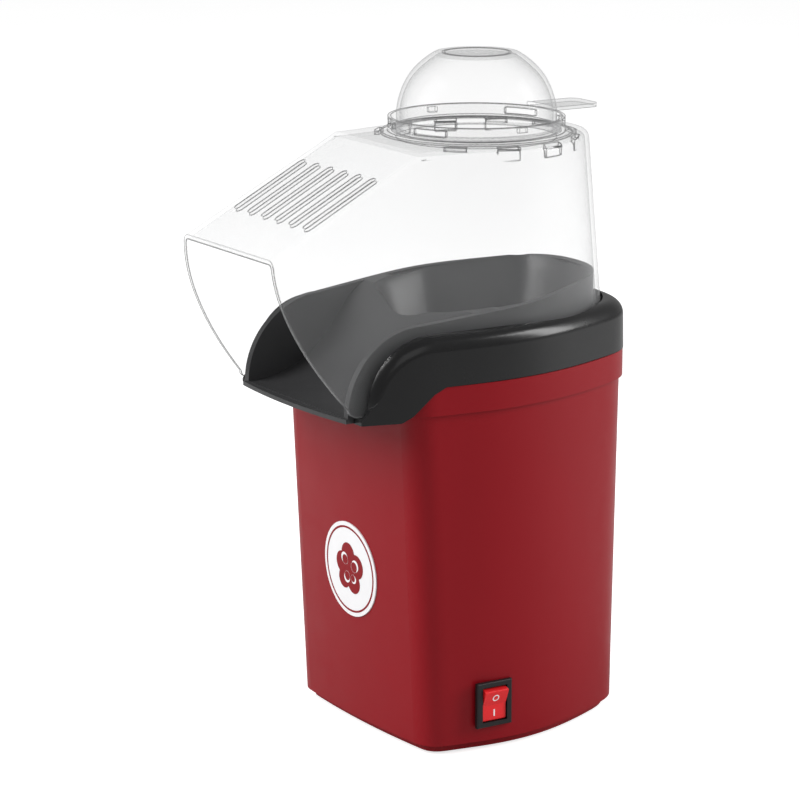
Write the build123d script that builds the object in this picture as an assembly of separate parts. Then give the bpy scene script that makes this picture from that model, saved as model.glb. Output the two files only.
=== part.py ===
from build123d import *
import math
import os

# Hot-air popcorn maker. Millimetres, +Z up, front (chute and badge) towards -Y, power switch on the +X side.
# Every shape below is drawn about the popping axis; save() then moves it so that the origin of the
# finished object is the middle of its footprint box, on the table.

# ---- Driving dimensions ----
TOTAL_HEIGHT = 305.0        # table to the flat top of the measuring cup
AXIS_X = -1.08              # popping axis, from the origin of the finished object
AXIS_Y = 30.81
GAP = 0.3                   # clearance between pieces that come apart

# Housing
FOOT_STAND = 0.8            # how far the rubber feet stand out of the base
HOUSING_Z = 4.3             # lower rim of the red housing
STEP_Z = 156.5              # small step below the collar
BAND_TOP_Z = 169.1          # top of the visible red band
SPIGOT_TOP_Z = 178.0        # spigot that plugs into the collar
HOUSING_WALL = 2.2
STEP_OUT = 1.5              # how far the band stands proud of the wall below it
SPIGOT_IN = 0.8             # how far the spigot stands back from the wall below the band
FRONT_BULGE = 2.0
CORNER = 12.0

# Collar and hood seat
COLLAR_TOP_Z = 191.8
COLLAR_ROLL = 7.0           # rounding of the collar's outer top edge
COLLAR_ARC = 31.0           # radius of the sweep of the collar's top edge, down to the cheeks
ARC_Y = -58.0               # where that sweep starts
SEAT_DROP = 4.0             # hood seat, below the collar's top edge
CHEEK_Z = 155.0             # underside of the cheeks and of the spout tray

# Chute insert
RIM_Z = 194.2               # insert rim at the start of the sweep
RIM_RISE = 0.095            # the rim climbs towards the rear
LEDGE_DROP = 0.9            # step from the rim down to the ledge inside it
RIM_ARC = 37.3
TRAY_Z = 157.3              # top of the tray floor
TRAY_FRONT_Y = -96.2
INSERT_WALL = 3.4
FUNNEL_Z = 177.0            # lower end of the funnel

# Hood
HOOD_WALL = 2.0
PLATE_Z = 268.6             # flat top of the hood
FOLD_Y = -52.3              # where the flat top folds into the sloping roof
ROOF_FRONT_Y = -128.6       # front edge of the roof
ROOF_FRONT_Z = 229.0
HOOD_LOWER_Z = 150.0        # height where the lower hood outline is drawn
SLOT_COUNT = 6              # steam slots in the roof
SLOT_PITCH = 11.9
SLOT_LENGTH = 40.0
SLOT_WIDTH = 3.6
VENT_COUNT = 12             # arc-shaped vents round the filler ring

# Filler ring on the hood, and the measuring cup that sits in it
BEAD_RADIUS = 43.0
BEAD_HEIGHT = 1.2
RING_RADIUS = 40.0
RING_TOP_Z = 276.3
FILLER_RADIUS = 36.0
CUP_MOUTH_RADIUS = 36.1
CUP_TOP_RADIUS = 18.7
CUP_WALL = 1.6
CUP_SKIRT_Z = 270.1
TAB_Z = 276.7
TAB_THICKNESS = 1.8
TAB_TIP_Y = 61.0
TAB_WIDTH = 21.0

# Hot-air unit inside
CHAMBER_RADIUS = 37.0
CHAMBER_WALL = 0.8
CHAMBER_FLOOR_Z = 98.0
AIR_SLOTS = 16
DUCT_RADIUS = 45.0
DUCT_TOP_Z = 150.0
FAN_DECK_Z = 53.0
FAN_TOP_Z = 84.0
FAN_RADIUS = 35.0
FAN_BLADES = 11
MOTOR_RADIUS = 14.0
MOTOR_BOTTOM_Z = 12.0
SHAFT_RADIUS = 1.15

# Switch on the +X side
SWITCH_Y = -29.6
SWITCH_Z = 21.8
BEZEL_WIDTH = 18.4
BEZEL_HEIGHT = 20.8
ROCKER_WIDTH = 12.4
ROCKER_HEIGHT = 15.6
ROCKER_TILT = 11.0          # each way about the middle position

# Badge on the front
BADGE_Z = 75.0
BADGE_RADIUS = 22.0

# Cord entry at the rear
GLAND_Z = 22.0
GLAND_BORE = 3.5

# Rectifier board, on edge beside the motor
BOARD_X = -42.0

# Half outlines, front to rear, as (half width, y); each one is mirrored about the centre plane
BODY_LOW = [(57.0, -49.5), (60.0, -28.0), (59.0, -4.0), (43.5, 39.0), (0.0, 61.8)]
BODY_HIGH = [(57.5, -57.0), (60.3, -30.0), (58.2, -2.0), (44.5, 40.0), (0.0, 65.6)]
CHEEK_SIDE = [(52.0, -93.0), (57.5, -73.0), (60.8, -50.0)]
SEAT_SIDE = [(49.4, -97.0), (51.3, -77.0), (52.8, -58.0), (54.3, -24.0), (53.9, 0.0), (42.4, 34.4), (0.0, 61.6)]
INSERT_SIDE = [(45.0, -101.0), (44.9, -75.0), (46.1, -58.0), (49.6, -24.0), (49.3, -1.0), (36.9, 30.2), (0.0, 55.2)]
HOOD_LOWER = [(46.5, -135.0), (49.4, -96.0), (55.0, -58.0), (58.5, -24.0), (56.5, 0.0), (43.5, 34.0), (0.0, 62.3)]
HOOD_UPPER = [(35.0, -135.0), (36.3, -96.0), (37.6, -56.0), (43.5, -22.0), (46.9, -2.0), (34.5, 33.0), (0.0, 54.4)]


# ---- Helpers ----
def save(name, shape):
    """Move a piece from the popping axis to the object's origin and write it."""
    os.makedirs("parts", exist_ok=True)
    export_step(Pos(AXIS_X, AXIS_Y, 0) * Compound(children=shape.solids()), f"parts/{name}.step")


def inset(side, distance):
    """Shrink (or, with a negative distance, grow) a half outline along its own normals."""
    shrunk = []
    for i, (x, y) in enumerate(side):
        if i == len(side) - 1:
            shrunk.append((0.0, y - distance))
            continue
        x0, y0 = side[max(i - 1, 0)]
        x1, y1 = side[i + 1]
        length = math.hypot(x1 - x0, y1 - y0)
        shrunk.append((x - distance * (y1 - y0) / length, y + distance * (x1 - x0) / length))
    return shrunk


def outline(side, z, corner=0.0, bulge=0.0):
    """Closed plan outline at height z, from a half outline; the corner is rounded into a bulged front."""
    x0, y0 = side[0]
    front_x = x0 - corner
    front_y = y0 - corner
    lean = Vector(side[1][0] - x0, side[1][1] - y0, 0).normalized()
    flank_points = [Vector(x, y, z) for x, y in side]
    flank = Edge.make_spline(flank_points, tangents=[lean, Vector(-1, 0, 0)])
    if bulge:
        front = Edge.make_three_point_arc((-front_x, front_y, z), (0, front_y - bulge, z), (front_x, front_y, z))
    else:
        front = Edge.make_line((-front_x, front_y, z), (front_x, front_y, z))
    if corner:
        cut = corner * (1 - math.sqrt(0.5))
        points = [Vector(front_x, front_y, z), Vector(x0 - cut, front_y + cut, z), Vector(x0, y0, z)]
        round_edge = Edge.make_spline(points, tangents=[front % 1, lean])
        edges = [front, round_edge, flank, flank.mirror(Plane.YZ), round_edge.mirror(Plane.YZ)]
    else:
        edges = [front, flank, flank.mirror(Plane.YZ)]
    return Wire(edges)


def tower(low, low_z, high, high_z, corner=0.0, bulge=0.0):
    """Solid between two plan outlines at two heights."""
    return Solid.make_loft([outline(low, low_z, corner, bulge), outline(high, high_z, corner, bulge)], True)


def across(edges, half_width=90.0):
    """Solid with a side profile drawn in the YZ plane, running right across the object."""
    face = Face(Wire(edges))
    return Pos(-half_width, 0, 0) * Solid.extrude(face, Vector(2 * half_width, 0, 0))


def path(*points):
    """Straight edges through (y, z) points of the side view."""
    return [Edge.make_line((0, *a), (0, *b)) for a, b in zip(points, points[1:])]


def sweep_down(radius, start_y, top_z):
    """Quarter arc of the side view, from level at (start_y, top_z) to plumb, further forward."""
    mid = radius * math.sqrt(0.5)
    centre_z = top_z - radius
    return Edge.make_three_point_arc(
        (0, start_y, top_z), (0, start_y - mid, centre_z + mid), (0, start_y - radius, centre_z)
    )


def disc(radius, bottom, top, x=0.0, y=0.0):
    """Upright cylinder between two heights."""
    return Pos(x, y, bottom) * Cylinder(radius, top - bottom, align=(Align.CENTER, Align.CENTER, Align.MIN))


def tube(outer, inner, bottom, top):
    """Upright ring between two heights."""
    return disc(outer, bottom, top) - disc(inner, bottom - 1, top + 1)


def block(size_x, size_y, bottom, top, x=0.0, y=0.0):
    """Upright box between two heights."""
    return Pos(x, y, bottom) * Box(size_x, size_y, top - bottom, align=(Align.CENTER, Align.CENTER, Align.MIN))


def around(count, radius, make, start=0.0, span=360.0):
    """Copies of make(), spaced round the popping axis at a radius."""
    pieces = []
    for i in range(count):
        angle = start + i * span / count
        pieces.append(Rot(0, 0, angle) * Pos(radius, 0, 0) * make())
    return pieces


def fuse(pieces):
    """One shape from a list of pieces."""
    whole = pieces[0]
    for piece in pieces[1:]:
        whole = whole + piece
    return whole


def arc_slot(radius, width, angle, bottom, top):
    """Curved cutter, centred on +X, for a slot round the popping axis."""
    ring = tube(radius + width / 2, radius - width / 2, bottom, top)
    wedge = Polyline((0, 0), *[
        (2 * radius * math.cos(math.radians(a)), 2 * radius * math.sin(math.radians(a)))
        for a in (-angle / 2, angle / 2)
    ], (0, 0))
    return ring & (Pos(0, 0, bottom) * extrude(make_face(wedge), top - bottom))


def screw(radius, length, x, y, head_z, up=True):
    """Pan-head screw with a cross slot; its head lies above (or below) head_z."""
    head = Cylinder(radius * 2, radius * 1.2, align=(Align.CENTER, Align.CENTER, Align.MIN))
    head = fillet(head.edges().group_by(Axis.Z)[-1], radius * 0.6)
    cross = Pos(0, 0, radius * 0.9) * (Box(radius * 2.2, 0.8, radius) + Box(0.8, radius * 2.2, radius))
    shank = Pos(0, 0, -length) * Cylinder(radius, length, align=(Align.CENTER, Align.CENTER, Align.MIN))
    piece = head - cross + shank
    if not up:
        piece = Rot(180, 0, 0) * piece
    return Pos(x, y, head_z) * piece


def wire_run(points, radius=1.1):
    """Insulated lead through a list of points."""
    run = Spline(*points)
    return sweep(Plane(run @ 0, z_dir=run % 0) * Circle(radius), path=run)


# ---- Fixing points, in plan ----
BASE_SCREW_SPOTS = [(-44.0, -46.0), (44.0, -46.0), (-38.0, 32.0), (38.0, 32.0)]
FOOT_SPOTS = [(-42.0, -29.0), (42.0, -29.0), (-27.0, 41.0), (27.0, 41.0)]
DECK_POSTS = [(39.0 * math.cos(math.radians(a)), 39.0 * math.sin(math.radians(a))) for a in (60, 180, 300)]
DUCT_SCREW_RADIUS = 47.7
MOTOR_SCREW_X = (-9.0, 9.0)


# ---- Housing ----
def body_solid():
    """Everything inside the outer face of the housing, up to the step."""
    return tower(BODY_LOW, HOUSING_Z, BODY_HIGH, STEP_Z, CORNER, FRONT_BULGE)


def band_solid(growth, low_z, high_z):
    """Upright block on the housing's upper outline, grown outwards."""
    side = inset(BODY_HIGH, -growth)
    return tower(side, low_z, side, high_z, CORNER + growth, FRONT_BULGE)


def housing_cavity(depth):
    """The hollow of the housing, a depth inside its outer face."""
    low = inset(BODY_LOW, depth)
    high = inset(BODY_HIGH, depth)
    return tower(low, HOUSING_Z, high, SPIGOT_TOP_Z + 1, CORNER - depth, FRONT_BULGE)


def seat_line(clearance=0.0):
    """Side view of the line where the collar sits on the housing, with everything below it."""
    rear_z = BAND_TOP_Z + clearance
    front_z = CHEEK_Z - 0.2 + clearance
    return path((90, 0), (90, rear_z), (-54, rear_z), (-60, rear_z - 3), (-70, front_z + 2.5), (-75, front_z),
                (-110, front_z), (-110, 0), (90, 0))


def housing_shell():
    shell = (body_solid() + band_solid(STEP_OUT, STEP_Z, BAND_TOP_Z + 1)) & across(seat_line())
    spigot_side = across(path((90, STEP_Z + 3), (90, SPIGOT_TOP_Z), (-46, SPIGOT_TOP_Z), (-62, STEP_Z + 3),
                              (90, STEP_Z + 3)))
    shell = shell + (band_solid(-SPIGOT_IN, STEP_Z + 2, SPIGOT_TOP_Z) & spigot_side)
    tray_notch = block(93.6, 62, CHEEK_Z - 0.2, SPIGOT_TOP_Z + 5, 0, -96)
    shell = shell - housing_cavity(HOUSING_WALL) - tray_notch
    switch_hole = Pos(60, SWITCH_Y, SWITCH_Z) * Box(30, BEZEL_WIDTH - 3.4, BEZEL_HEIGHT - 3.4)
    gland_hole = Pos(0, 60, GLAND_Z) * Rot(90, 0, 0) * Cylinder(GLAND_BORE + 2.2, 30)
    shell = shell - switch_hole - gland_hole
    boss_posts = []
    for x, y in BASE_SCREW_SPOTS:
        post = disc(4.2, 8.2, 30, x, y) - disc(1.4, 7, 24, x, y)
        web_x = math.copysign(1, x)
        rib = block(12, 2.0, 12, 28, x + web_x * 7, y)
        boss_posts.append(post + ((rib & housing_cavity(HOUSING_WALL - 0.3)) - disc(1.4, 7, 24, x, y)))
    return fuse([shell] + boss_posts)


def base_plate():
    lip_side = inset(BODY_LOW, 3.4)
    plug_side = inset(BODY_LOW, HOUSING_WALL + GAP)
    plate = tower(lip_side, FOOT_STAND, lip_side, HOUSING_Z, CORNER - 3.4, FRONT_BULGE)
    plug = tower(plug_side, HOUSING_Z, plug_side, HOUSING_Z + 2.4, CORNER - 2.5, FRONT_BULGE)
    hollow_side = inset(BODY_LOW, HOUSING_WALL + GAP + 2.2)
    hollow = tower(hollow_side, HOUSING_Z, hollow_side, HOUSING_Z + 9, CORNER - 4.6, FRONT_BULGE)
    plate = plate + (plug - hollow)
    for row in range(5):
        slot = Pos(0, -24 + 12 * row, 0) * extrude(SlotOverall(34, 4.5), 12)
        plate = plate - slot
    for x, y in FOOT_SPOTS:
        plate = plate - disc(7.6, 0, 2.8, x, y)
    for x, y in BASE_SCREW_SPOTS:
        plate = plate + disc(4.6, HOUSING_Z - 1, 8.0, x, y) - disc(1.8, 0, 9, x, y) - disc(3.6, 0, 3.6, x, y)
    for x, y in DECK_POSTS:
        plate = plate + disc(4.0, HOUSING_Z - 1, FAN_DECK_Z, x, y) - disc(1.5, FAN_DECK_Z - 12, FAN_DECK_Z + 1, x, y)
    for y in (8.0, 24.0):
        clip = block(5.0, 3.0, HOUSING_Z - 1, 14, BOARD_X, y) - block(1.8, 5.0, 9.9, 15, BOARD_X, y)
        plate = plate + clip
    return plate


def rubber_feet():
    return [fillet(disc(7.2, 0, 2.7, x, y).edges().group_by(Axis.Z)[0], 0.5) for x, y in FOOT_SPOTS]


def base_screws():
    return [screw(1.4, 14, x, y, 3.5, up=False) for x, y in BASE_SCREW_SPOTS]


def front_badge():
    skin = tower(inset(BODY_LOW, -0.5), HOUSING_Z, inset(BODY_HIGH, -0.5), STEP_Z, CORNER + 0.5, FRONT_BULGE)
    pin = Pos(0, -62, BADGE_Z) * Rot(90, 0, 0) * Cylinder(BADGE_RADIUS, 40)
    front_half = Pos(0, -60, BADGE_Z) * Box(60, 40, 60)
    return (skin & pin & front_half) - body_solid()


# ---- Collar, insert ----
def collar_profile():
    """Side view of the collar: seat line below, sweep above."""
    front_z = COLLAR_TOP_Z - COLLAR_ARC
    top = [sweep_down(COLLAR_ARC, ARC_Y, COLLAR_TOP_Z)]
    rest = path((ARC_Y - COLLAR_ARC, front_z), (-92.6, CHEEK_Z + 1.5), (-92.6, CHEEK_Z), (-75, CHEEK_Z),
                (-70, CHEEK_Z + 2.5), (-60, BAND_TOP_Z - 2.8), (-54, BAND_TOP_Z + 0.2), (90, BAND_TOP_Z + 0.2),
                (90, COLLAR_TOP_Z), (ARC_Y, COLLAR_TOP_Z))
    return across(top + rest)


def collar_side():
    """Outer half outline of the collar: the cheeks, then a hair outside the housing's band."""
    return CHEEK_SIDE + inset(BODY_HIGH, -(STEP_OUT + 0.2))[1:]


def top_collar():
    block_all = tower(collar_side(), 140, inset(collar_side(), 1.0), 200) & collar_profile()
    sweep_edges = [
        edge for edge in block_all.edges()
        if edge.center().Z > CHEEK_Z + 8 and abs(edge.center().X) > 5 and is_collar_crest(edge)
    ]
    rounded = fillet(sweep_edges, COLLAR_ROLL)
    seat_front = ARC_Y - COLLAR_ARC + SEAT_DROP
    seat_z = COLLAR_TOP_Z - SEAT_DROP
    seat = across([sweep_down(COLLAR_ARC - SEAT_DROP, ARC_Y, seat_z)] + path(
        (seat_front, COLLAR_TOP_Z - COLLAR_ARC), (seat_front, CHEEK_Z + 2.8), (-120, CHEEK_Z + 2.8),
        (-120, 230), (90, 230), (90, seat_z), (ARC_Y, seat_z)))
    groove = tower(SEAT_SIDE, 140, SEAT_SIDE, 230) & seat
    well_side = inset(INSERT_SIDE, -0.5)
    well = tower(well_side, 140, well_side, 230)
    skirt_side = inset(collar_side(), 2.1)
    inner_skirt = tower(skirt_side, 140, skirt_side, seat_z - 2.5) & across(
        path((90, 140), (90, seat_z - 2.5), (-50, seat_z - 2.5), (-68, CHEEK_Z + 6), (-68, 140), (90, 140)))
    return rounded - groove - well - inner_skirt


def is_collar_crest(edge):
    """True for the outer top edge of the collar, which runs round the back and down to the cheeks."""
    box = edge.bounding_box()
    level = box.max.Z > COLLAR_TOP_Z - 0.1 and box.size.Z < 0.5 and box.size.Y > 30
    falling = box.size.Z > 20 and box.size.Y > 20
    return level or falling


def rim_height(y):
    """Height of the insert's rim, which climbs towards the rear."""
    return RIM_Z + RIM_RISE * (y - ARC_Y)


def slide_edges():
    """Side view of the ledge inside the rim and of the slide, rear to front."""
    points = [(-16.0, rim_height(-16) - LEDGE_DROP), (-38.0, 192.4), (-51.5, 177.0), (-63.5, 166.6),
              (-77.0, 160.0), (-92.0, TRAY_Z)]
    slide = Edge.make_spline([Vector(0, y, z) for y, z in points])
    return [Edge.make_line((0, 75, rim_height(75) - LEDGE_DROP), (0, *points[0])), slide]


def funnel_outline(distance, z):
    """Bowl outline shrunk by a distance. z is its height at the popping axis; it tilts with the rim."""
    side = [(40.5, -14.0), (42.5, -2.0), (32.5, 30.0), (0.0, 49.0)]
    share = (z - FUNNEL_Z) / (rim_height(0) - FUNNEL_Z)
    tilt = math.degrees(math.atan(RIM_RISE * max(share, 0)))
    return Pos(0, 0, z) * Rot(tilt, 0, 0) * outline(inset(side, distance), 0, 24.0 - 0.4 * distance, 4.0)


def chute_funnel():
    rim_front = ARC_Y - RIM_ARC
    crest = [sweep_down(RIM_ARC, ARC_Y, RIM_Z)]
    under = path((rim_front, RIM_Z - RIM_ARC), (-104, RIM_Z - RIM_ARC), (-104, CHEEK_Z), (-73, CHEEK_Z),
                 (-60, 163), (-48, FUNNEL_Z), (75, FUNNEL_Z), (75, rim_height(75)), (ARC_Y, RIM_Z))
    lip_side = [(45.0, TRAY_FRONT_Y)] + INSERT_SIDE[1:]
    plan = outline(lip_side, 140, 0.0, 3.0)
    body = Solid.extrude(Face(plan), Vector(0, 0, 90)) & across(crest + under)
    open_side = [(41.6, -102.0)] + inset(INSERT_SIDE[1:], INSERT_WALL)
    above = across(slide_edges() + path((-92, TRAY_Z), (-120, TRAY_Z), (-120, 240), (75, 240),
                                        (75, rim_height(75) - LEDGE_DROP)))
    body = body - (tower(open_side, 130, open_side, 240) & above)
    flare = [(8.0, -0.5), (6.3, 4.0), (4.4, 9.0), (2.4, 14.0), (0.6, 18.0), (-1.2, 21.0), (-3.0, 22.9), (-5.4, 24.4)]
    bowl = Solid.make_loft([funnel_outline(distance, FUNNEL_Z + rise) for distance, rise in flare], False)
    body = body - bowl
    return body


# ---- Hot-air unit ----
def popping_chamber():
    inner = CHAMBER_RADIUS - CHAMBER_WALL
    cup = disc(CHAMBER_RADIUS, CHAMBER_FLOOR_Z, FUNNEL_Z - 0.2)
    cup = fillet(cup.edges().group_by(Axis.Z)[0], 6)
    bore = disc(inner, CHAMBER_FLOOR_Z + CHAMBER_WALL, FUNNEL_Z + 1)
    bore = fillet(bore.edges().group_by(Axis.Z)[0], 5.2)
    hub = Pos(0, 0, CHAMBER_FLOOR_Z + 0.4) * Cone(20, 6, 9, align=(Align.CENTER, Align.CENTER, Align.MIN))
    flange = tube(42.5, inner, FUNNEL_Z - 1.2, FUNNEL_Z - 0.2)
    cup = (cup - bore) + hub + flange
    louvres = around(AIR_SLOTS, CHAMBER_RADIUS, lambda: Pos(0, 0, CHAMBER_FLOOR_Z + 13) * Rot(0, 0, 35) * Box(8, 1.6, 9))
    return cup - fuse(louvres)


def air_duct():
    wall = tube(DUCT_RADIUS, DUCT_RADIUS - 0.8, FAN_TOP_Z, DUCT_TOP_Z)
    lid = tube(DUCT_RADIUS, CHAMBER_RADIUS + 0.15, DUCT_TOP_Z - 0.8, DUCT_TOP_Z)
    foot = tube(51.0, DUCT_RADIUS - 0.8, FAN_TOP_Z, FAN_TOP_Z + 0.8)
    duct = wall + lid + foot
    return duct - fuse(around(3, DUCT_SCREW_RADIUS, lambda: disc(1.3, FAN_TOP_Z - 1, FAN_TOP_Z + 3), start=20))


def fan_housing():
    deck = disc(48.6, FAN_DECK_Z, FAN_DECK_Z + 2.2)
    wall = tube(45.0, 42.8, FAN_DECK_Z + 1, FAN_TOP_Z)
    rim = tube(51.0, 42.8, FAN_TOP_Z - 8, FAN_TOP_Z)
    ribs = around(12, 46.4, lambda: block(3.6, 1.6, FAN_DECK_Z + 1, FAN_TOP_Z - 4))
    body = fuse([deck + wall + rim] + ribs)
    inlets = around(3, 0, lambda: arc_slot(22.0, 9.0, 84, FAN_DECK_Z - 1, FAN_DECK_Z + 4), start=0)
    body = body - fuse(inlets) - disc(4.6, FAN_DECK_Z - 1, FAN_DECK_Z + 4)
    for x, y in DECK_POSTS:
        body = body - disc(1.6, FAN_DECK_Z - 1, FAN_DECK_Z + 4, x, y)
    for x in MOTOR_SCREW_X:
        body = body - disc(1.4, FAN_DECK_Z - 1, FAN_DECK_Z + 4, x)
    return body - fuse(around(3, DUCT_SCREW_RADIUS, lambda: disc(1.2, FAN_TOP_Z - 9, FAN_TOP_Z + 1), start=20))


def deck_screws():
    return [screw(1.5, 10, x, y, FAN_DECK_Z + 2.2) for x, y in DECK_POSTS]


def duct_screws():
    return around(3, DUCT_SCREW_RADIUS, lambda: screw(1.2, 7, 0, 0, FAN_TOP_Z + 0.8), start=20)


def motor_screws():
    return [screw(1.3, 5, x, 0, FAN_DECK_Z + 2.2) for x in MOTOR_SCREW_X]


def motor_can():
    can = disc(MOTOR_RADIUS, MOTOR_BOTTOM_Z + 3, FAN_DECK_Z - 0.1)
    can = fillet(can.edges().group_by(Axis.Z)[-1], 1.5)
    can = can - disc(MOTOR_RADIUS - 0.9, MOTOR_BOTTOM_Z, FAN_DECK_Z - 1.4)
    can = can - disc(3.2, FAN_DECK_Z - 3, FAN_DECK_Z + 1)
    for x in MOTOR_SCREW_X:
        can = can - disc(1.3, FAN_DECK_Z - 3, FAN_DECK_Z + 1, x)
    flats = Pos(MOTOR_RADIUS + 9.4, 0, 30) * Box(20, 40, 60) + Pos(-MOTOR_RADIUS - 9.4, 0, 30) * Box(20, 40, 60)
    return can - flats


def motor_magnets():
    ring = tube(MOTOR_RADIUS - 1.6, MOTOR_RADIUS - 4.4, MOTOR_BOTTOM_Z + 8, FAN_DECK_Z - 6)
    return ring - Box(9, 60, 200)


def motor_end_cap():
    cap = disc(MOTOR_RADIUS - 1.0, MOTOR_BOTTOM_Z + 3, MOTOR_BOTTOM_Z + 6.5) + disc(5, MOTOR_BOTTOM_Z, MOTOR_BOTTOM_Z + 4)
    cap = cap - disc(SHAFT_RADIUS + 0.05, MOTOR_BOTTOM_Z + 1.2, MOTOR_BOTTOM_Z + 8)
    tags = [Pos(x, 0, MOTOR_BOTTOM_Z + 1) * Box(0.6, 3.2, 5) for x in MOTOR_SCREW_X]
    return fuse([cap] + tags)


def motor_shaft():
    return disc(SHAFT_RADIUS, MOTOR_BOTTOM_Z + 1.5, FAN_DECK_Z + 16)


def motor_armature():
    core = disc(8.6, MOTOR_BOTTOM_Z + 11, FAN_DECK_Z - 9)
    core = core - fuse(around(5, 8.6, lambda: Pos(0, 0, 33) * Box(5, 1.6, 40)))
    commutator = disc(3.2, MOTOR_BOTTOM_Z + 7, MOTOR_BOTTOM_Z + 11)
    return core + commutator - disc(SHAFT_RADIUS, MOTOR_BOTTOM_Z, FAN_DECK_Z)


def fan_impeller():
    base = FAN_DECK_Z + 5
    hub = disc(5.0, base, base + 10) - disc(SHAFT_RADIUS, base - 1, base + 12)
    plate = tube(FAN_RADIUS, 4.0, base + 8.4, base + 10)
    blade_run = Edge.make_three_point_arc((8, 0, base), (21, 5.5, base), (FAN_RADIUS, 4.0, base))
    blades = []
    for i in range(FAN_BLADES):
        side = Face(Wire([
            blade_run, Edge.make_line(blade_run @ 1, (FAN_RADIUS, 5.2, base)),
            Edge.make_three_point_arc((FAN_RADIUS, 5.2, base), (21, 6.7, base), (8, 1.2, base)),
            Edge.make_line((8, 1.2, base), blade_run @ 0),
        ]))
        blades.append(Rot(0, 0, i * 360 / FAN_BLADES) * Solid.extrude(side, Vector(0, 0, 9)))
    return fuse([hub + plate] + blades)


def coil_run(wire_radius):
    """The heater's four turns of resistance wire."""
    helix = Pos(0, 0, FAN_TOP_Z - 5.5) * Helix(pitch=3.4, height=13.6, radius=30)
    return sweep(Plane(helix @ 0, z_dir=helix % 0) * Circle(wire_radius), path=helix)


def heater_former():
    """Two crossed mica cards, notched for the wire."""
    low = FAN_TOP_Z - 8
    high = CHAMBER_FLOOR_Z - 1.0
    middle = (low + high) / 2
    notches = coil_run(0.8)
    first = block(82, 1.0, low, high) - block(1.1, 3, low - 1, middle)
    second = block(1.0, 82, low, high) - block(3, 1.1, middle, high + 1)
    return [first - notches, second - notches]


def heater_coil():
    return coil_run(0.7)


def thermostat():
    cup = Pos(-DUCT_RADIUS - 3.2, 0, 118) * Rot(0, 90, 0) * (Cylinder(7.5, 4.4) + Pos(0, 0, 2) * Cylinder(5.5, 2.4))
    tags = [Pos(-DUCT_RADIUS - 4.6, y, 118) * Box(0.8, 8, 4) for y in (-9.6, 9.6)]
    return fuse([cup] + tags)


def thermal_fuse():
    barrel = Rot(90, 0, 0) * (Cylinder(2.0, 11) + Cylinder(0.6, 24))
    return Rot(0, 0, 235) * Pos(DUCT_RADIUS + 2.6, 0, 128) * barrel


def rectifier_board():
    return block(1.6, 22, 10, 38, BOARD_X, 16)


def rectifier_diodes():
    diode = Cylinder(1.5, 6.0) + Cylinder(0.4, 14)
    return [Pos(BOARD_X + 2.6, 8.5 + 5 * i, 26) * diode for i in range(4)]


# ---- Switch ----
def switch_face_x():
    """Where the housing wall stands at the switch."""
    return 60.4


def switch_bezel():
    face = switch_face_x()
    flange = Pos(face + 1.05, SWITCH_Y, SWITCH_Z) * Box(2.1, BEZEL_WIDTH, BEZEL_HEIGHT)
    flange = fillet(flange.edges().group_by(Axis.X)[-1], 0.7)
    case = Pos(face - 8.2, SWITCH_Y, SWITCH_Z) * Box(16.6, BEZEL_WIDTH - 3.8, BEZEL_HEIGHT - 3.8)
    well = Pos(face, SWITCH_Y, SWITCH_Z) * Box(14.0, ROCKER_WIDTH + 2 * GAP, ROCKER_HEIGHT + 2 * GAP)
    pins = Pos(face - 1.2, SWITCH_Y, SWITCH_Z) * Rot(90, 0, 0) * Cylinder(1.2, BEZEL_WIDTH - 4.2)
    return flange + case - well - pins


def switch_rocker():
    face = switch_face_x()
    pivot = Pos(face - 1.2, SWITCH_Y, SWITCH_Z)
    rise = 4.0
    dip = 2.6
    half = ROCKER_HEIGHT / 2 - 0.4
    root = (-4.6, half * 0.55)
    shoulder = (0.4, half + 0.3)
    side = Polyline((root[0], -root[1]), (shoulder[0], -shoulder[1]), (rise, -half), (dip, 0), (rise, half),
                    shoulder, root, (root[0], -root[1]))
    cap = extrude(make_face(Plane.XZ * side), ROCKER_WIDTH / 2 - 0.1, both=True)
    cap = fillet(cap.edges().filter_by(Axis.Y).group_by(Axis.X)[-1], 0.8)
    axle = Rot(90, 0, 0) * Cylinder(1.15, BEZEL_WIDTH - 4.6)
    return (pivot * Rot(0, ROCKER_TILT, 0) * (cap + axle)) - fuse(rocker_marks())


def rocker_marks():
    """The printed bar and ring, let into the two faces of the rocker."""
    pivot = Pos(switch_face_x() - 1.2, SWITCH_Y, SWITCH_Z)
    reach = ROCKER_HEIGHT / 2 - 0.4
    lean = math.degrees(math.atan2(1.4, reach))
    bar = Pos(3.15, 0, -reach / 2) * Rot(0, -lean, 0) * Box(0.4, 0.7, 3.2)
    ring = Pos(3.15, 0, reach / 2) * Rot(0, 90 + lean, 0) * (Cylinder(1.7, 0.4) - Cylinder(1.2, 1))
    return [pivot * Rot(0, ROCKER_TILT, 0) * mark for mark in (bar, ring)]


def switch_terminals():
    face = switch_face_x()
    return [Pos(face - 20.3, SWITCH_Y, SWITCH_Z + z) * Box(7.4, 4.8, 0.8) for z in (-5.0, 5.0)]


# ---- Cord entry ----
def cord_gland():
    wall_y = 62.65
    flange = Pos(0, wall_y + 1.3, GLAND_Z) * Rot(90, 0, 0) * Cylinder(8.0, 2.6)
    flange = fillet(flange.edges().group_by(Axis.Y)[-1], 1.0)
    body = Pos(0, wall_y - 5, GLAND_Z) * Rot(90, 0, 0) * Cylinder(GLAND_BORE + 2.0, 12)
    nut = Pos(0, wall_y - 7, GLAND_Z) * Rot(90, 0, 0) * extrude(RegularPolygon(9, 6), 4)
    bore = Pos(0, wall_y, GLAND_Z) * Rot(90, 0, 0) * Cylinder(GLAND_BORE, 60)
    return flange + body + nut - bore


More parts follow.
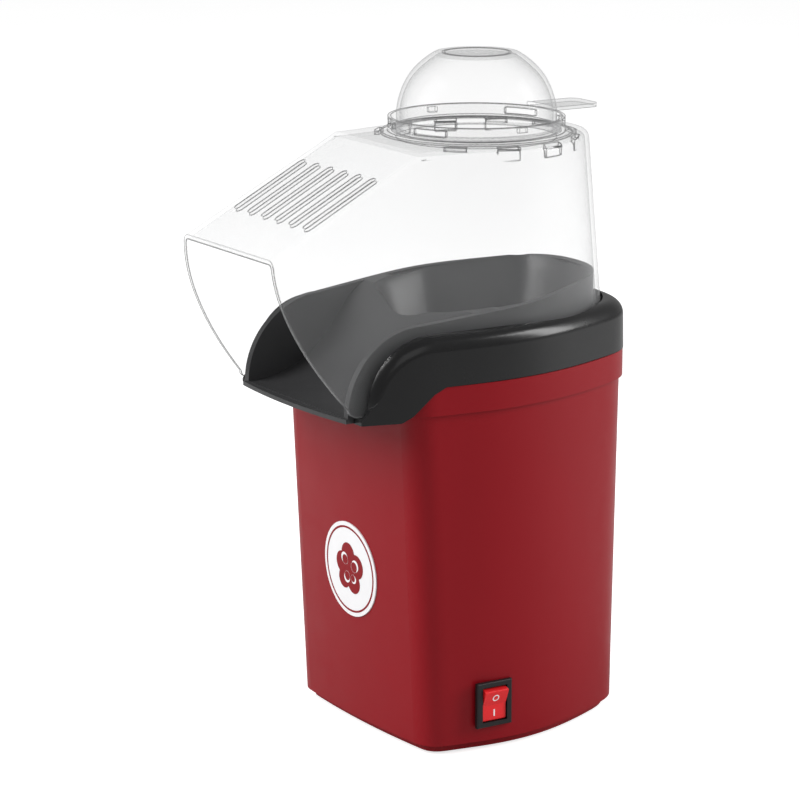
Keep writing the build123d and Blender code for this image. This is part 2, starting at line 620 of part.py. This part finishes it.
# ---- Hood ----
def hood_form(depth):
    """Solid block with the hood's outer walls and roof, shrunk inwards by a depth."""
    lower = inset(HOOD_LOWER, depth)
    upper = inset(HOOD_UPPER, depth)
    slope = (PLATE_Z - ROOF_FRONT_Z) / (FOLD_Y - ROOF_FRONT_Y)
    top = PLATE_Z - depth
    roof_drop = depth * (math.hypot(1, slope) - 1)
    block_all = tower(lower, HOOD_LOWER_Z, upper, PLATE_Z)
    far_z = top - roof_drop - slope * (FOLD_Y + 145)
    fold_y = FOLD_Y - roof_drop / slope
    keep = across(path((90, 120), (90, top), (fold_y, top), (-145, far_z), (-145, 120), (90, 120)))
    return block_all & keep


def hood_edges(block_all):
    """Edges between the hood's roof and its walls."""
    found = []
    for edge in block_all.edges():
        box = edge.bounding_box()
        if box.min.Z > ROOF_FRONT_Z - 12 and box.size.Y > 40 and box.size.Z < 60:
            found.append(edge)
    return found


def hood_shell_outline():
    """Side view of the hood: mouth edge at the front, seat edge below."""
    seat_z = COLLAR_TOP_Z - SEAT_DROP + GAP
    radius = COLLAR_ARC - SEAT_DROP + GAP
    seat_front = ARC_Y - radius
    low_z = CHEEK_Z + 2.8 + GAP
    arc = sweep_down(radius, ARC_Y, seat_z)
    corner = Edge.make_three_point_arc((0, -92.5, low_z), (0, -95.4, low_z + 1.0), (0, -96.6, low_z + 3.4))
    mouth = Edge.make_spline([Vector(0, -96.6, low_z + 3.4), Vector(0, -109.3, 178.0), Vector(0, -120.0, 196.0),
                              Vector(0, -126.9, 214.0), Vector(0, ROOF_FRONT_Y, 232.0)])
    rest = path((ROOF_FRONT_Y, 232.0), (ROOF_FRONT_Y, 300), (90, 300), (90, seat_z), (ARC_Y, seat_z))
    down = path((seat_front, COLLAR_TOP_Z - COLLAR_ARC), (seat_front, low_z), (-92.5, low_z))
    return across([arc] + down + [corner, mouth] + rest)


def hood_cover():
    outer = hood_form(0.0)
    outer = fillet(hood_edges(outer), 3.5)
    inner = hood_form(HOOD_WALL)
    inner = fillet(hood_edges(inner), 1.8)
    shell = (outer - inner) & hood_shell_outline()
    bead = disc(BEAD_RADIUS, PLATE_Z - HOOD_WALL, PLATE_Z + BEAD_HEIGHT)
    ring = tube(RING_RADIUS, RING_RADIUS - 1.6, PLATE_Z, RING_TOP_Z)
    shell = shell + bead + ring - disc(FILLER_RADIUS, PLATE_Z - 8, PLATE_Z + 5)
    window = Pos(RING_RADIUS, 0, PLATE_Z + 4.6) * Box(6, 16, 2.6)
    for angle in (25, 155, 205, 335):
        shell = shell - Rot(0, 0, angle + 270) * window
    vents = around(VENT_COUNT, 0, lambda: arc_slot(45.2, 2.0, 13, PLATE_Z - 6, PLATE_Z + 2), start=15)
    vents = [vent for vent in vents if vent.center().Y > -40]
    roof_angle = math.degrees(math.atan2(PLATE_Z - ROOF_FRONT_Z, FOLD_Y - ROOF_FRONT_Y))
    slots = []
    for i in range(SLOT_COUNT):
        x = (i - (SLOT_COUNT - 1) / 2) * SLOT_PITCH
        slots.append(Pos(x, -90.0, 249.0) * Rot(roof_angle, 0, 0) * extrude(
            Rot(0, 0, 90) * SlotOverall(SLOT_LENGTH, SLOT_WIDTH), 8, both=True))
    return shell - fuse(vents) - fuse(slots)


# ---- Measuring cup ----
def cup_profile(depth):
    """Half section of the inverted cup, shrunk inwards by a depth."""
    top = TOTAL_HEIGHT - depth
    side = [(CUP_MOUTH_RADIUS, 279.0), (34.4, 286.6), (30.6, 294.4), (25.0, 300.6), (CUP_TOP_RADIUS, TOTAL_HEIGHT)]
    points = [(r - depth * 0.95, z - depth * 0.25 * (i + 0.2)) for i, (r, z) in enumerate(side)]
    points[-1] = (CUP_TOP_RADIUS - depth * 0.3, top)
    wall = Spline(*[(r, z) for r, z in points])
    bottom = CUP_SKIRT_Z - (1 if depth else 0)
    start = (points[0][0], bottom)
    rest = Polyline(points[-1], (0, top), (0, bottom), start, points[0])
    return make_face(Plane.XZ * Wire(wall.edges() + rest.edges()))


def measuring_cup():
    cup = revolve(cup_profile(0.0), Axis.Z) - revolve(cup_profile(CUP_WALL), Axis.Z)
    flange = tube(RING_RADIUS - 1.6 - GAP - 0.2, CUP_MOUTH_RADIUS - CUP_WALL, CUP_SKIRT_Z, CUP_SKIRT_Z + 1.4)
    rim_step = tube(15.6, 14.6, TOTAL_HEIGHT - 0.5, TOTAL_HEIGHT + 1)
    tab = Pos(0, TAB_TIP_Y / 2, TAB_Z) * extrude(RectangleRounded(TAB_WIDTH, TAB_TIP_Y, 5), TAB_THICKNESS)
    tab = tab - disc(CUP_MOUTH_RADIUS - CUP_WALL + 0.3, TAB_Z - 1, TAB_Z + 4)
    lugs = [Pos(x, 0, CUP_SKIRT_Z + 4.2) * Box(2.6, 4.4, 2.4) for x in (-36.6, 36.6)]
    cup = fuse([cup + flange, tab] + lugs)
    return cup - rim_step


# ---- Leads ----
def mains_lead():
    """Cord entry to switch, along the floor."""
    return wire_run([(0, 51, GLAND_Z), (1, 46, 20), (16, 43.5, 13), (28.7, 33, 11), (32, 14, 11), (34, -12, 12),
                     (36.8, SWITCH_Y, 15.0)])


def motor_lead():
    """Rectifier board to motor."""
    return wire_run([(BOARD_X + 2, 16, 14), (-30, 14, 10), (-16, 6, 9.6), (-9.2, 2.6, 11.0)], 0.9)


def heater_lead():
    """Switch to thermostat, up the inside of the housing."""
    return wire_run([(-DUCT_RADIUS - 5.4, -15.2, 117), (-51.5, -18, 96), (-49.5, -22, 60), (-31, -38, 24),
                     (5, -46, 12), (28, -40, 16), (36.6, SWITCH_Y, 25.2)])


NODES = {
    "housing_shell": housing_shell, "base_plate": base_plate, "rubber_feet": rubber_feet,
    "base_screws": base_screws, "front_badge": front_badge, "top_collar": top_collar,
    "chute_funnel": chute_funnel, "popping_chamber": popping_chamber, "air_duct": air_duct,
    "fan_housing": fan_housing, "deck_screws": deck_screws, "duct_screws": duct_screws,
    "motor_screws": motor_screws, "motor_can": motor_can, "motor_magnets": motor_magnets,
    "motor_end_cap": motor_end_cap, "motor_shaft": motor_shaft, "motor_armature": motor_armature,
    "fan_impeller": fan_impeller, "heater_former": heater_former, "heater_coil": heater_coil,
    "thermostat": thermostat, "thermal_fuse": thermal_fuse, "rectifier_board": rectifier_board,
    "rectifier_diodes": rectifier_diodes, "switch_bezel": switch_bezel, "switch_rocker": switch_rocker,
    "rocker_marks": rocker_marks, "switch_terminals": switch_terminals, "cord_gland": cord_gland,
    "hood_cover": hood_cover, "measuring_cup": measuring_cup, "mains_lead": mains_lead,
    "motor_lead": motor_lead, "heater_lead": heater_lead,
}

for node, make in NODES.items():
    made = make()
    save(node, Compound(children=made) if isinstance(made, list) else made)
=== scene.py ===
import math

import bmesh
import bpy
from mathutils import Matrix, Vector
from mathutils.bvhtree import BVHTree


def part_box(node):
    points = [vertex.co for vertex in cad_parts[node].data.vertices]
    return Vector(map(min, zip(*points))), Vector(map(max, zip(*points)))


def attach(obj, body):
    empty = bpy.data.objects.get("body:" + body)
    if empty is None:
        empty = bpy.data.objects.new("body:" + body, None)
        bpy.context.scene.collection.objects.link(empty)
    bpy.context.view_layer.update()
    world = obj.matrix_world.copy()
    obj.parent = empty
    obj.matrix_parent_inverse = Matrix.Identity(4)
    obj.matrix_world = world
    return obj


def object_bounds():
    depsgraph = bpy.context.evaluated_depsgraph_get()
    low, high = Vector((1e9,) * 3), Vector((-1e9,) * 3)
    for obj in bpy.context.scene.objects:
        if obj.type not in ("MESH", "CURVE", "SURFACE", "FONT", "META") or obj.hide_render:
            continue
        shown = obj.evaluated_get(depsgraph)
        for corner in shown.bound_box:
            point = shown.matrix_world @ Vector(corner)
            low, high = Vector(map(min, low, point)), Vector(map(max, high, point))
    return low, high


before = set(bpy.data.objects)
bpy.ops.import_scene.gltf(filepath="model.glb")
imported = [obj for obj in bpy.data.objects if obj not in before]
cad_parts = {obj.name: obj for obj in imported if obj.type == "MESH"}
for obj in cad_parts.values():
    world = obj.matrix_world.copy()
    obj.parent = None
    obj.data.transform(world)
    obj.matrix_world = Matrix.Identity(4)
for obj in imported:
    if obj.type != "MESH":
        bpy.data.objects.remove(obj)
cad_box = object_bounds()

MM = 0.001
LOW, HIGH = Vector(cad_box[0]), Vector(cad_box[1])
MIDDLE = (LOW + HIGH) / 2


# ---- material helpers -------------------------------------------------------

def blank(name, **sockets):
    """A new material and its shader, with constant values set straight on the shader's sockets."""
    made = bpy.data.materials.new(name)
    made.use_nodes = True
    shader = made.node_tree.nodes["Principled BSDF"]
    for socket, value in sockets.items():
        shader.inputs[socket.replace("_", " ")].default_value = value
    return made, made.node_tree, shader


def noise(tree, scale, detail=3.0, stretch=(1, 1, 1), distortion=0.0):
    """Noise in the object's own space. scale is in features per metre."""
    coords = tree.nodes.new("ShaderNodeTexCoord")
    mapping = tree.nodes.new("ShaderNodeMapping")
    mapping.inputs["Scale"].default_value = stretch
    texture = tree.nodes.new("ShaderNodeTexNoise")
    texture.inputs["Scale"].default_value = scale
    texture.inputs["Detail"].default_value = detail
    texture.inputs["Distortion"].default_value = distortion
    tree.links.new(coords.outputs["Object"], mapping.inputs["Vector"])
    tree.links.new(mapping.outputs["Vector"], texture.inputs["Vector"])
    return texture.outputs["Fac"]


def cells(tree, scale, feature="F1", stretch=(1, 1, 1)):
    """Distance in a Voronoi cell pattern in the object's own space."""
    coords = tree.nodes.new("ShaderNodeTexCoord")
    mapping = tree.nodes.new("ShaderNodeMapping")
    mapping.inputs["Scale"].default_value = stretch
    texture = tree.nodes.new("ShaderNodeTexVoronoi")
    texture.feature = feature
    texture.inputs["Scale"].default_value = scale
    tree.links.new(coords.outputs["Object"], mapping.inputs["Vector"])
    tree.links.new(mapping.outputs["Vector"], texture.inputs["Vector"])
    return texture.outputs["Distance"]


def span(tree, value, low, high, start=0.3, end=0.7):
    """value, from start to end, spread over low to high."""
    node = tree.nodes.new("ShaderNodeMapRange")
    for socket, number in (("From Min", start), ("From Max", end), ("To Min", low), ("To Max", high)):
        node.inputs[socket].default_value = number
    tree.links.new(value, node.inputs["Value"])
    return node.outputs["Result"]


def arith(tree, operation, a, b):
    node = tree.nodes.new("ShaderNodeMath")
    node.operation = operation
    node.use_clamp = True
    for socket, value in zip(node.inputs, (a, b)):
        if isinstance(value, (int, float)):
            socket.default_value = value
        else:
            tree.links.new(value, socket)
    return node.outputs["Value"]


def mix(tree, factor, first, second):
    """A colour from first to second. Each is a tuple or the output of another mix."""
    node = tree.nodes.new("ShaderNodeMix")
    node.data_type = "RGBA"
    colour_inputs = [s for s in node.inputs if s.type == "RGBA"]
    tree.links.new(factor, node.inputs["Factor"])
    for socket, colour in zip(colour_inputs, (first, second)):
        if isinstance(colour, tuple):
            socket.default_value = (*colour, 1)
        else:
            tree.links.new(colour, socket)
    return next(s for s in node.outputs if s.type == "RGBA")


def shade(colour, factor):
    return tuple(min(1.0, c * factor) for c in colour)


def bump(tree, shader, height, distance, strength=1.0):
    node = tree.nodes.new("ShaderNodeBump")
    node.inputs["Strength"].default_value = strength
    node.inputs["Distance"].default_value = distance
    tree.links.new(height, node.inputs["Height"])
    tree.links.new(node.outputs["Normal"], shader.inputs["Normal"])


def edges(tree, radius):
    """0 on open faces, rising to 1 at sharp edges, by how much a rounded normal turns."""
    rounded = tree.nodes.new("ShaderNodeBevel")
    rounded.samples = 8
    rounded.inputs["Radius"].default_value = radius
    surface = tree.nodes.new("ShaderNodeNewGeometry")
    dot = tree.nodes.new("ShaderNodeVectorMath")
    dot.operation = "DOT_PRODUCT"
    tree.links.new(rounded.outputs["Normal"], dot.inputs[0])
    tree.links.new(surface.outputs["Normal"], dot.inputs[1])
    return span(tree, dot.outputs["Value"], 1.0, 0.0, 0.86, 0.998)


def moulded(name, colour, roughness, grain, grain_size, variation, coat=0.0, gloss=0.5):
    """Moulded plastic: faint flow mottling, a roughness that wanders, and a fine surface grain, in mm."""
    made, tree, shader = blank(name, Coat_Weight=coat, Coat_Roughness=0.12, IOR=1.49,
                               Specular_IOR_Level=gloss)
    flow = span(tree, noise(tree, 14, 4, (1, 1, 0.5), 0.6), 0, 1)
    mottled = mix(tree, flow, shade(colour, 1 - variation), shade(colour, 1 + variation))
    tree.links.new(mottled, shader.inputs["Base Color"])
    wander = noise(tree, 60, 5)
    tree.links.new(span(tree, wander, roughness * 0.86, roughness * 1.16), shader.inputs["Roughness"])
    bump(tree, shader, noise(tree, 1 / (grain_size * MM), 2), grain * MM)
    return made


def metal(name, colour, roughness, depth, stain, stain_scale, stretch=(1, 1, 1)):
    """Metal with fine lines along the direction in which stretch is smallest, and uneven staining.

    depth is in mm. stain_scale is in features per metre.
    """
    made, tree, shader = blank(name, Metallic=1.0)
    lines = noise(tree, 420, 6, stretch)
    cloud = noise(tree, stain_scale, 5, distortion=0.8)
    base = mix(tree, span(tree, lines, 0, 1), shade(colour, 0.86), shade(colour, 1.08))
    stained = mix(tree, span(tree, cloud, 0, 0.75, 0.42, 0.72), base, stain)
    tree.links.new(stained, shader.inputs["Base Color"])
    worn = arith(tree, "ADD", span(tree, lines, roughness * 0.7, roughness * 1.2), span(tree, cloud, 0, 0.1))
    tree.links.new(worn, shader.inputs["Roughness"])
    bump(tree, shader, lines, depth * MM, 0.8)
    return made


def clear(name, tone, facing, grazing, power, edge_radius, painted_edge_opacity):
    """Clear moulded plastic: almost unseen face on, greyer where it curves away, with painted shade along its
    cut edges.

    facing and grazing are how opaque it is in those two directions, and power how late it turns from one to
    the other. painted_edge_opacity is how opaque the painted shade on a sharp edge is.
    """
    made, tree, shader = blank(name, IOR=1.52, Coat_Weight=0.25, Coat_Roughness=0.03)
    made.surface_render_method = "BLENDED"
    swirl = noise(tree, 26, 4, distortion=1.2)
    # painted shade: rim marks the cut edges, which are given a dark grey colour and more opacity below
    rim = edges(tree, edge_radius)
    soft = mix(tree, span(tree, swirl, 0, 1), shade(tone, 0.94), shade(tone, 1.04))
    # painted shade: the cut edges are painted dark grey
    tree.links.new(mix(tree, rim, soft, shade(tone, 0.14)), shader.inputs["Base Color"])
    tree.links.new(span(tree, noise(tree, 90, 4), 0.03, 0.09), shader.inputs["Roughness"])
    weight = tree.nodes.new("ShaderNodeLayerWeight")
    weight.inputs["Blend"].default_value = 0.5
    curve = arith(tree, "POWER", weight.outputs["Facing"], power)
    veil = span(tree, curve, facing, grazing, 0.0, 1.0)
    # painted shade: the cut edges are made more opaque, so that their dark grey shows
    outlined = arith(tree, "MAXIMUM", veil, arith(tree, "MULTIPLY", rim, painted_edge_opacity))
    tree.links.new(outlined, shader.inputs["Alpha"])
    return made


# ---- the finishes, by the record's material slots ---------------------------

def rubber():
    made, tree, shader = blank("rubber_look", Specular_IOR_Level=0.35)
    dust = noise(tree, 120, 6)
    tree.links.new(mix(tree, span(tree, dust, 0, 1), (0.018, 0.018, 0.019), (0.042, 0.041, 0.04)),
                   shader.inputs["Base Color"])
    tree.links.new(span(tree, dust, 0.7, 0.9), shader.inputs["Roughness"])
    bump(tree, shader, noise(tree, 1800, 3), 0.05 * MM)
    return made


def mica():
    made, tree, shader = blank("mica_look", Coat_Weight=0.5, Coat_Roughness=0.2, IOR=1.58)
    flakes = cells(tree, 380, stretch=(1, 1, 0.4))
    cloud = noise(tree, 70, 6, distortion=1.5)
    base = mix(tree, span(tree, cloud, 0, 1), (0.34, 0.25, 0.14), (0.62, 0.52, 0.36))
    tree.links.new(mix(tree, span(tree, flakes, 0, 0.6, 0.1, 0.8), base, (0.74, 0.68, 0.56)),
                   shader.inputs["Base Color"])
    tree.links.new(span(tree, flakes, 0.22, 0.55, 0.1, 0.8), shader.inputs["Roughness"])
    bump(tree, shader, flakes, 0.04 * MM)
    return made


def circuit_board():
    made, tree, shader = blank("board_look", Coat_Weight=0.4, Coat_Roughness=0.15)
    glass_weave = noise(tree, 900, 2, (1, 0.15, 1))
    tracks = cells(tree, 150, "DISTANCE_TO_EDGE")
    base = mix(tree, span(tree, glass_weave, 0, 1), (0.012, 0.115, 0.042), (0.02, 0.16, 0.06))
    tree.links.new(mix(tree, span(tree, tracks, 1, 0, 0.04, 0.07), base, (0.05, 0.27, 0.1)),
                   shader.inputs["Base Color"])
    tree.links.new(span(tree, glass_weave, 0.3, 0.45), shader.inputs["Roughness"])
    bump(tree, shader, tracks, 0.03 * MM)
    return made


def winding():
    made, tree, shader = blank("winding_look", Metallic=1.0, Coat_Weight=0.6, Coat_Roughness=0.18)
    turns = noise(tree, 500, 2, (1, 1, 0.08))
    tree.links.new(mix(tree, span(tree, turns, 0, 1), (0.42, 0.13, 0.045), (0.88, 0.42, 0.2)),
                   shader.inputs["Base Color"])
    tree.links.new(span(tree, turns, 0.22, 0.42), shader.inputs["Roughness"])
    bump(tree, shader, turns, 0.12 * MM)
    return made


def sheathed(name, colour):
    made, tree, shader = blank(name, Coat_Weight=0.1, Coat_Roughness=0.3)
    ripple = noise(tree, 260, 4)
    tree.links.new(mix(tree, span(tree, ripple, 0, 1), shade(colour, 0.8), shade(colour, 1.15)),
                   shader.inputs["Base Color"])
    tree.links.new(span(tree, ripple, 0.34, 0.52), shader.inputs["Roughness"])
    bump(tree, shader, ripple, 0.06 * MM)
    return made


FINISHES = {
    "red_housing": moulded("red_housing_look", (0.245, 0.0042, 0.0092), roughness=0.33,
                           grain=0.004, grain_size=0.35, variation=0.03, gloss=0.16),
    "red_base": moulded("red_base_look", (0.235, 0.0040, 0.0085), roughness=0.38,
                        grain=0.006, grain_size=0.40, variation=0.04, gloss=0.16),
    "black_gloss": moulded("black_gloss_look", (0.0085, 0.0085, 0.0088), roughness=0.24,
                           grain=0.002, grain_size=0.60, variation=0.12, coat=0.06, gloss=0.3),
    "graphite_plastic": moulded("graphite_look", (0.033, 0.033, 0.0342), roughness=0.36,
                                grain=0.003, grain_size=0.45, variation=0.06, gloss=0.36),
    "black_plastic": moulded("black_plastic_look", (0.011, 0.0112, 0.012), roughness=0.38,
                             grain=0.008, grain_size=0.40, variation=0.14, gloss=0.3),
    "rocker_red": moulded("rocker_red_look", (0.74, 0.016, 0.020), roughness=0.28,
                          grain=0.004, grain_size=0.30, variation=0.04, coat=0.05, gloss=0.3),
    "badge_white": moulded("badge_white_look", (0.83, 0.83, 0.84), roughness=0.34,
                           grain=0.005, grain_size=0.40, variation=0.02, coat=0.2),
    "mark_white": moulded("mark_white_look", (0.88, 0.85, 0.86), roughness=0.42,
                          grain=0.008, grain_size=0.25, variation=0.03),
    "white_nylon": moulded("white_nylon_look", (0.74, 0.73, 0.69), roughness=0.46,
                           grain=0.012, grain_size=0.40, variation=0.05),
    "clear_hood": clear("clear_hood_look", (0.58, 0.585, 0.59), facing=0.075, grazing=0.55, power=4.4,
                        edge_radius=1.5 * MM, painted_edge_opacity=0.90),
    "clear_cup": clear("clear_cup_look", (0.44, 0.445, 0.45), facing=0.03, grazing=0.62, power=3.6,
                       edge_radius=1.0 * MM, painted_edge_opacity=0.70),
    "bare_aluminium": metal("aluminium_look", (0.78, 0.785, 0.79), roughness=0.26, depth=0.012,
                            stain=(0.52, 0.50, 0.47), stain_scale=24, stretch=(0.05, 0.05, 3)),
    "zinc_steel": metal("zinc_steel_look", (0.60, 0.61, 0.62), roughness=0.32, depth=0.010,
                        stain=(0.40, 0.41, 0.43), stain_scale=60, stretch=(0.2, 0.2, 2)),
    "steel": metal("steel_look", (0.56, 0.565, 0.57), roughness=0.30, depth=0.006,
                   stain=(0.34, 0.33, 0.32), stain_scale=160),
    "ferrite": metal("ferrite_look", (0.075, 0.075, 0.08), roughness=0.55, depth=0.030,
                     stain=(0.04, 0.036, 0.034), stain_scale=120),
    "nichrome": metal("nichrome_look", (0.42, 0.40, 0.38), roughness=0.38, depth=0.010,
                      stain=(0.16, 0.13, 0.17), stain_scale=90),
    "brass": metal("brass_look", (0.72, 0.53, 0.24), roughness=0.28, depth=0.006,
                   stain=(0.45, 0.30, 0.13), stain_scale=200, stretch=(1, 1, 0.2)),
    "rubber": rubber(),
    "mica": mica(),
    "copper": winding(),
    "board_green": circuit_board(),
    "lead_black": sheathed("lead_black_look", (0.022, 0.022, 0.023)),
    "lead_red": sheathed("lead_red_look", (0.42, 0.02, 0.018)),
}

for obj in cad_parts.values():
    for slot in obj.material_slots:
        slot.material = FINISHES[slot.material.name.split(".")[0]]


# ---- badge print: a plain ring and a popped kernel, thin ink on the badge face ----

INK = 0.12 * MM               # how far the print stands out of the badge
INK_SINK = 0.05 * MM          # how far its edge goes into the badge
CREASE_INK = 0.2 * MM         # how far the white print on top of the kernel stands out
RING_INSIDE = 0.875           # the printed ring's two radii, as shares of the badge's
RING_OUTSIDE = 0.915
KERNEL_SIZE = 0.56            # scale of the kernel's puffs, as a share of the badge's radius
CREASE_RADIUS = 0.66          # a crease's inner radius, as a share of its size
CREASE_THINNEST = 0.01        # its width at the tips, and what is added at its thickest
CREASE_SWELL = 0.34
RAY_START = 20 * MM           # rays at the badge start this far in front of it
CORE = 0.02                   # a filled shape is closed by a face this small, as a share of its outline

# The kernel's puffs: angle in degrees, distance from its middle, radius.
PUFFS = [(20, 0.52, 0.46), (95, 0.56, 0.44), (160, 0.50, 0.42), (228, 0.56, 0.38), (300, 0.54, 0.42)]
# The white creases on it: x and z from the badge's middle, size, and the angle where each is thickest.
CREASES = [(0.20, 0.08, 0.17, 40), (-0.14, 0.18, 0.16, 130), (-0.08, -0.16, 0.15, 250),
           (0.14, -0.17, 0.12, 320)]


def face_of(node):
    """The node's surface, for laying thin pieces on it."""
    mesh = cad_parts[node].data
    corners = [vertex.co.copy() for vertex in mesh.vertices]
    return BVHTree.FromPolygons(corners, [tuple(face.vertices) for face in mesh.polygons])


badge_low, badge_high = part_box("front_badge")
badge_middle = (badge_low + badge_high) / 2
badge_radius = (badge_high.x - badge_low.x) / 2
badge_face = face_of("front_badge")


def on_badge(x, z, proud):
    """The point of the badge face at x, z from its middle, moved out of the face by proud."""
    start = Vector((badge_middle.x + x, badge_low.y - RAY_START, badge_middle.z + z))
    hit, normal, _, _ = badge_face.ray_cast(start, Vector((0, 1, 0)))
    if normal.y > 0:
        normal = -normal
    return hit + normal * proud


def ink(name, inner, outer, look, thickness=INK, turns=120, rings=2, middle=(0, 0)):
    """A thin layer of print between two outlines, each a function of the angle, open where it meets the badge.

    inner None fills the shape.
    """
    bm = bmesh.new()

    def loop(radius_at, proud):
        made = []
        for i in range(turns):
            angle = 2 * math.pi * i / turns
            reach = radius_at(angle)
            x = middle[0] + reach * math.cos(angle)
            z = middle[1] + reach * math.sin(angle)
            made.append(bm.verts.new(on_badge(x, z, proud)))
        return made

    start = inner or (lambda angle: CORE * outer(angle))
    steps = [i / rings for i in range(rings + 1)]
    loops = [loop(lambda a, t=t: start(a) * (1 - t) + outer(a) * t, thickness) for t in steps]
    loops.append(loop(outer, -INK_SINK))
    if inner:
        loops.insert(0, loop(inner, -INK_SINK))
    else:
        bm.faces.new(loops[0])
    for near, far in zip(loops, loops[1:]):
        for i in range(turns):
            j = (i + 1) % turns
            bm.faces.new((near[i], near[j], far[j], far[i]))
    bmesh.ops.recalc_face_normals(bm, faces=bm.faces)
    mesh = bpy.data.meshes.new(name)
    bm.to_mesh(mesh)
    bm.free()
    made = bpy.data.objects.new(name, mesh)
    bpy.context.scene.collection.objects.link(made)
    made.data.materials.append(FINISHES[look])
    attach(made, "base")


def ring(radius):
    """Round outline, its radius given as a share of the badge's."""
    return lambda angle: radius * badge_radius


def puffed(size, circles):
    """Outline of overlapping circles, seen from the middle: (angle in degrees, distance, radius) of each."""
    def reach(angle):
        best = 0.0
        for turn, distance, radius in circles:
            away = angle - math.radians(turn)
            inside = radius ** 2 - (distance * math.sin(away)) ** 2
            if inside > 0:
                best = max(best, distance * math.cos(away) + math.sqrt(inside))
        return best * size * badge_radius
    return reach


def crease(size, turn):
    """Inner and outer outline of a crescent that is thickest towards turn, in degrees."""
    def outer(angle):
        thick = CREASE_THINNEST + CREASE_SWELL * max(0.0, math.cos(angle - math.radians(turn)))
        return (CREASE_RADIUS + thick) * size * badge_radius
    return ring(CREASE_RADIUS * size), outer


ink("badge_ring", ring(RING_INSIDE), ring(RING_OUTSIDE), "red_base")
ink("badge_kernel", None, puffed(KERNEL_SIZE, PUFFS), "red_base", turns=200, rings=10)
for number, (x, z, size, turn) in enumerate(CREASES):
    ink(f"badge_crease.{number}", *crease(size, turn), "badge_white", thickness=CREASE_INK, turns=60,
        middle=(x * badge_radius, z * badge_radius))


# ---- stage, lights and camera -----------------------------------------------

SKY_LIGHT = 0.36              # the studio walls as a light; the camera sees them white
FLOOR_GLOW = 0.72             # brings the floor up to the same white for the camera only
FLOOR_RADIUS = 9.0            # metres
FLOOR_GAP = 0.05 * MM         # under the object, so that the two faces don't lie in one plane
VIEW_TARGET = Vector((-1.08, -8.04, 149.83)) * MM
VIEW_DISTANCE = 1.567         # metres
VIEW_AZIMUTH = 57.88          # degrees, as is the elevation
VIEW_ELEVATION = 13.19


def floor():
    """A pale disc, wide enough that the camera doesn't see its edge."""
    bm = bmesh.new()
    bmesh.ops.create_circle(bm, cap_ends=True, radius=FLOOR_RADIUS, segments=96)
    mesh = bpy.data.meshes.new("floor")
    bm.to_mesh(mesh)
    bm.free()
    made = bpy.data.objects.new("floor", mesh)
    bpy.context.scene.collection.objects.link(made)
    made.location.z = LOW.z - FLOOR_GAP
    look, tree, shader = blank("floor_look", Roughness=0.75)
    tree.links.new(mix(tree, span(tree, noise(tree, 3, 3), 0, 1), (0.60, 0.60, 0.60), (0.63, 0.63, 0.63)),
                   shader.inputs["Base Color"])
    shader.inputs["Emission Color"].default_value = (1, 1, 1, 1)
    path = tree.nodes.new("ShaderNodeLightPath")
    glow = span(tree, path.outputs["Is Camera Ray"], 0.0, FLOOR_GLOW, 0, 1)
    tree.links.new(glow, shader.inputs["Emission Strength"])
    made.data.materials.append(look)


def place(made, azimuth, elevation, distance, aim):
    """Puts a light or camera in a direction from aim, looking at it. Azimuth 0 is the front, 90 is +X."""
    a, e = math.radians(azimuth), math.radians(elevation)
    back = Vector((math.sin(a) * math.cos(e), -math.cos(a) * math.cos(e), math.sin(e)))
    made.location = aim + back * distance
    made.rotation_euler = back.to_track_quat("Z", "Y").to_euler()
    bpy.context.scene.collection.objects.link(made)


def softbox(name, azimuth, elevation, distance, width, height, power):
    """A large area light that faces the middle of the object."""
    data = bpy.data.lights.new(name, "AREA")
    data.shape = "RECTANGLE"
    data.size, data.size_y, data.energy = width, height, power
    place(bpy.data.objects.new(name, data), azimuth, elevation, distance, MIDDLE)


floor()
world = bpy.data.worlds.new("studio")
bpy.context.scene.world = world
world.use_nodes = True
sky = world.node_tree.nodes["Background"]
sky.inputs["Color"].default_value = (1, 1, 1, 1)
path = world.node_tree.nodes.new("ShaderNodeLightPath")
brightness = span(world.node_tree, path.outputs["Is Camera Ray"], SKY_LIGHT, 1.0, 0, 1)
world.node_tree.links.new(brightness, sky.inputs["Strength"])

softbox("key", azimuth=-25, elevation=35, distance=1.6, width=0.9, height=1.2, power=27)
softbox("fill", azimuth=80, elevation=30, distance=2.0, width=1.2, height=1.2, power=4)
softbox("rim", azimuth=150, elevation=25, distance=1.6, width=0.5, height=1.2, power=20)

lens = bpy.data.cameras.new("camera")
lens.lens = 156.26
lens.sensor_width = 36
lens.shift_x = -0.0039
camera = bpy.data.objects.new("camera", lens)
place(camera, VIEW_AZIMUTH, VIEW_ELEVATION, VIEW_DISTANCE, VIEW_TARGET)
bpy.context.scene.camera = camera
bpy.context.scene.view_settings.view_transform = "Standard"
